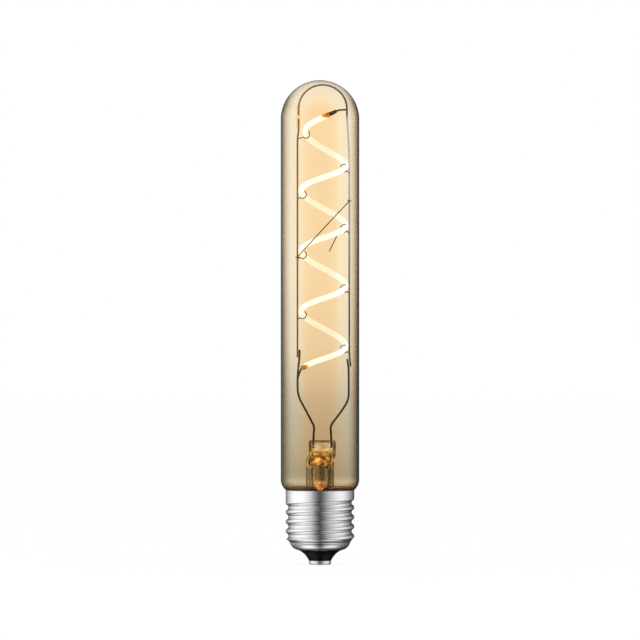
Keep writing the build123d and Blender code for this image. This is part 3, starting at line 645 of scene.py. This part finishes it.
heights = [LIP_HEIGHT + (SHOULDER_TOP - LIP_HEIGHT) * (n / 14) ** 1.6 for n in range(15)]
heights += [SKIRT_FROM + (FLARE_FOOT - SKIRT_FROM) * n / 150 for n in range(151)]
heights += [FLARE_FOOT + RIM_RISE * n / 12 for n in range(1, 13)]
outside = [cap_row(height, 0.0) for height in heights]
inside = [cap_row(height, SHEET) for height in heights if height > BORE_FROM]
lip = [flat_row(LIP_RADIUS, LIP_HEIGHT + SHEET), flat_row(LIP_RADIUS, LIP_HEIGHT)]
rim = [flat_row(radius, RIM_TOP) for radius in RIM_RADII]
rows = lip + outside[1:] + rim + inside[::-1]
vertices = lathe(rows, CAP_SIDES)
faces = bands(len(rows), CAP_SIDES)
last = (len(rows) - 1) * CAP_SIDES
for j in range(CAP_SIDES):
    k = (j + 1) % CAP_SIDES
    faces.append((last + j, last + k, k, j))
new_piece("rolled_cap", vertices, faces, cap_metal, "cap_metal", "cap_shell")


def swept(points, radii, sides=20):
    """A round rod along a line of points, with its own radius at each point, closed at both ends."""
    vertices, side = [], Vector((0, 1, 0))
    for index, point in enumerate(points):
        ahead = points[min(index + 1, len(points) - 1)]
        behind = points[max(index - 1, 0)]
        along = (ahead - behind).normalized()
        across = along.cross(side).normalized()
        over = across.cross(along)
        for n in range(sides):
            turn = 2 * pi * n / sides
            vertices.append(tuple((point + radii[index] * (cos(turn) * across + sin(turn) * over)) * MM))
    return vertices, bands(len(points), sides) + end_faces(len(points), sides)


# Upper terminal: the crimp keeps its full length, with its tool's two dents, and then its pin bends
STRIP_END = Vector((3.406, -5.785, 171.651))
CRIMP_END = Vector((6.35, -5.225, 173.032))
PIN_END = Vector((9.959, -0.452, 173.731))
CRIMP_RADII = (0.62, 0.76, 0.78, 0.78, 0.68, 0.76, 0.76, 0.75, 0.64, 0.72, 0.7, 0.6, 0.42)
PIN_RADIUS, PIN_STEPS, ELBOW = 0.35, 9, 0.3
line = [STRIP_END.lerp(CRIMP_END, n / (len(CRIMP_RADII) - 1)) for n in range(len(CRIMP_RADII))]
elbow = CRIMP_END + (CRIMP_END - STRIP_END) * ELBOW
for n in range(1, PIN_STEPS + 1):
    share = n / PIN_STEPS
    line.append(CRIMP_END.lerp(elbow, share).lerp(elbow.lerp(PIN_END, share), share))
vertices, faces = swept(line, CRIMP_RADII + (PIN_RADIUS,) * PIN_STEPS)
new_piece("crimped_terminal", vertices, faces, terminal_metal, "nickel_wire", "filament_terminal_top")


# ---------------------------------------------------------------- floor, light and camera
FLOOR_HALF, FLOOR_GLOW = 4.0, 0.91
# Light level round the studio, from behind over the left, the front and the right: (degrees, level)
PANELS = ((-180, 0.04), (-160, 0.12), (-146, 0.3), (-134, 0.42), (-122, 0.6), (-104, 0.85),
          (-88, 1.0), (-64, 0.97), (-48, 0.8), (-34, 0.62), (-20, 0.27), (-7, 0.09), (0, 0.05),
          (7, 0.09), (20, 0.27), (34, 0.48), (48, 0.62), (63, 0.8), (79, 0.82), (98, 0.64),
          (116, 0.36), (134, 0.2), (150, 0.07), (180, 0.04))
# Light level from straight below to straight above: (share of the way, level)
LEVELS = ((0.0, 0.5), (0.03, 0.9), (0.1, 1.0), (0.17, 0.42), (0.3, 0.38), (0.38, 0.85),
          (0.44, 1.0), (0.76, 1.0), (0.87, 0.6), (1.0, 0.45))
PANEL_POWER, FILL_LEVEL = 1.3, 0.85


def floor_material():
    """White to the eye, with the lamp's soft shadow, and a plain grey floor to everything else."""
    s = Shader("studio_floor")
    seen, glossy = light_path(s)
    cloth = s.noise(40.0, 3, 0.5)
    shade = s.ramp(cloth, (0.3, (0.095, 0.095, 0.095)), (0.7, (0.1, 0.1, 0.1)))
    lit = s.put(s.node("ShaderNodeBsdfDiffuse"), Color=shade)
    glow = s.put(s.node("ShaderNodeEmission"), Color=(1, 1, 1), Strength=FLOOR_GLOW)
    both = s.node("ShaderNodeAddShader")
    s.link(lit.outputs[0], both.inputs[0])
    s.link(glow.outputs[0], both.inputs[1])
    plain = s.put(s.node("ShaderNodeBsdfDiffuse"), Color=s.mix(glossy, (0.8, 0.8, 0.8), (0.25, 0.25, 0.25)))
    choice = s.node("ShaderNodeMixShader")
    s.link(seen, choice.inputs[0])
    s.link(plain.outputs[0], choice.inputs[1])
    s.link(both.outputs[0], choice.inputs[2])
    return s.surface(choice)


def studio_world():
    """White to the eye and through glass, while reflections see soft panels round the lamp."""
    s = Shader("studio", world=True)
    seen, glossy = light_path(s)
    way = s.axes(s.node("ShaderNodeTexCoord").outputs["Generated"])
    azimuth = s.maths("ARCTAN2", way["X"], s.times(way["Y"], -1.0))
    panel_stops = [((angle + 180) / 360, (level,) * 3) for angle, level in PANELS]
    level_stops = [(share, (level,) * 3) for share, level in LEVELS]
    panels = s.ramp(s.span(azimuth, -pi, pi), *panel_stops)
    levels = s.ramp(s.span(way["Z"], -1.0, 1.0), *level_stops)
    room = s.vector("MULTIPLY", s.vector("MULTIPLY", panels, levels), (PANEL_POWER,) * 3)
    unseen = s.mix(glossy, (FILL_LEVEL,) * 3, room)
    return s.surface(s.put(s.node("ShaderNodeBackground"), Color=s.mix(seen, unseen, (1, 1, 1))))


mesh = bpy.data.meshes.new("studio_floor")
corners = [(x * FLOOR_HALF, y * FLOOR_HALF, 0) for x, y in ((-1, -1), (1, -1), (1, 1), (-1, 1))]
mesh.from_pydata(corners, [], [(0, 1, 2, 3)])
mesh.materials.append(floor_material())
floor = bpy.data.objects.new("studio_floor", mesh)
floor.visible_glossy = False
bpy.context.scene.collection.objects.link(floor)
bpy.context.scene.world = studio_world()

LAMP_MIDDLE = Vector((0, 0, 0.09))


def softbox(name, place, size, power):
    """A square soft light that looks at the middle of the lamp."""
    light = bpy.data.lights.new(name, "AREA")
    light.shape = "RECTANGLE"
    light.size = light.size_y = size
    light.energy = power
    piece = bpy.data.objects.new(name, light)
    piece.location = place
    piece.rotation_euler = (LAMP_MIDDLE - Vector(place)).to_track_quat("-Z", "Y").to_euler()
    piece.visible_glossy = False
    bpy.context.scene.collection.objects.link(piece)


softbox("left_box", (-0.75, -0.5, 0.35), 0.6, 1.6)
softbox("right_box", (0.75, -0.5, 0.3), 0.6, 0.9)

# The camera stands DISTANCE in front of the lamp, where it sees a width of WIDTH
DISTANCE, WIDTH, EYE_HEIGHT, SENSOR = 1.9, 0.2445, 0.0934, 36.0
camera = bpy.data.cameras.new("camera")
camera.sensor_width = SENSOR
camera.lens = SENSOR * DISTANCE / WIDTH
camera.clip_start = 0.05
camera.clip_end = 60.0
eye = bpy.data.objects.new("camera", camera)
eye.location = (0.0, -DISTANCE, EYE_HEIGHT)
eye.rotation_euler = (pi / 2, 0, 0)
bpy.context.scene.collection.objects.link(eye)
bpy.context.scene.camera = eye
bpy.context.scene.view_settings.view_transform = "Standard"
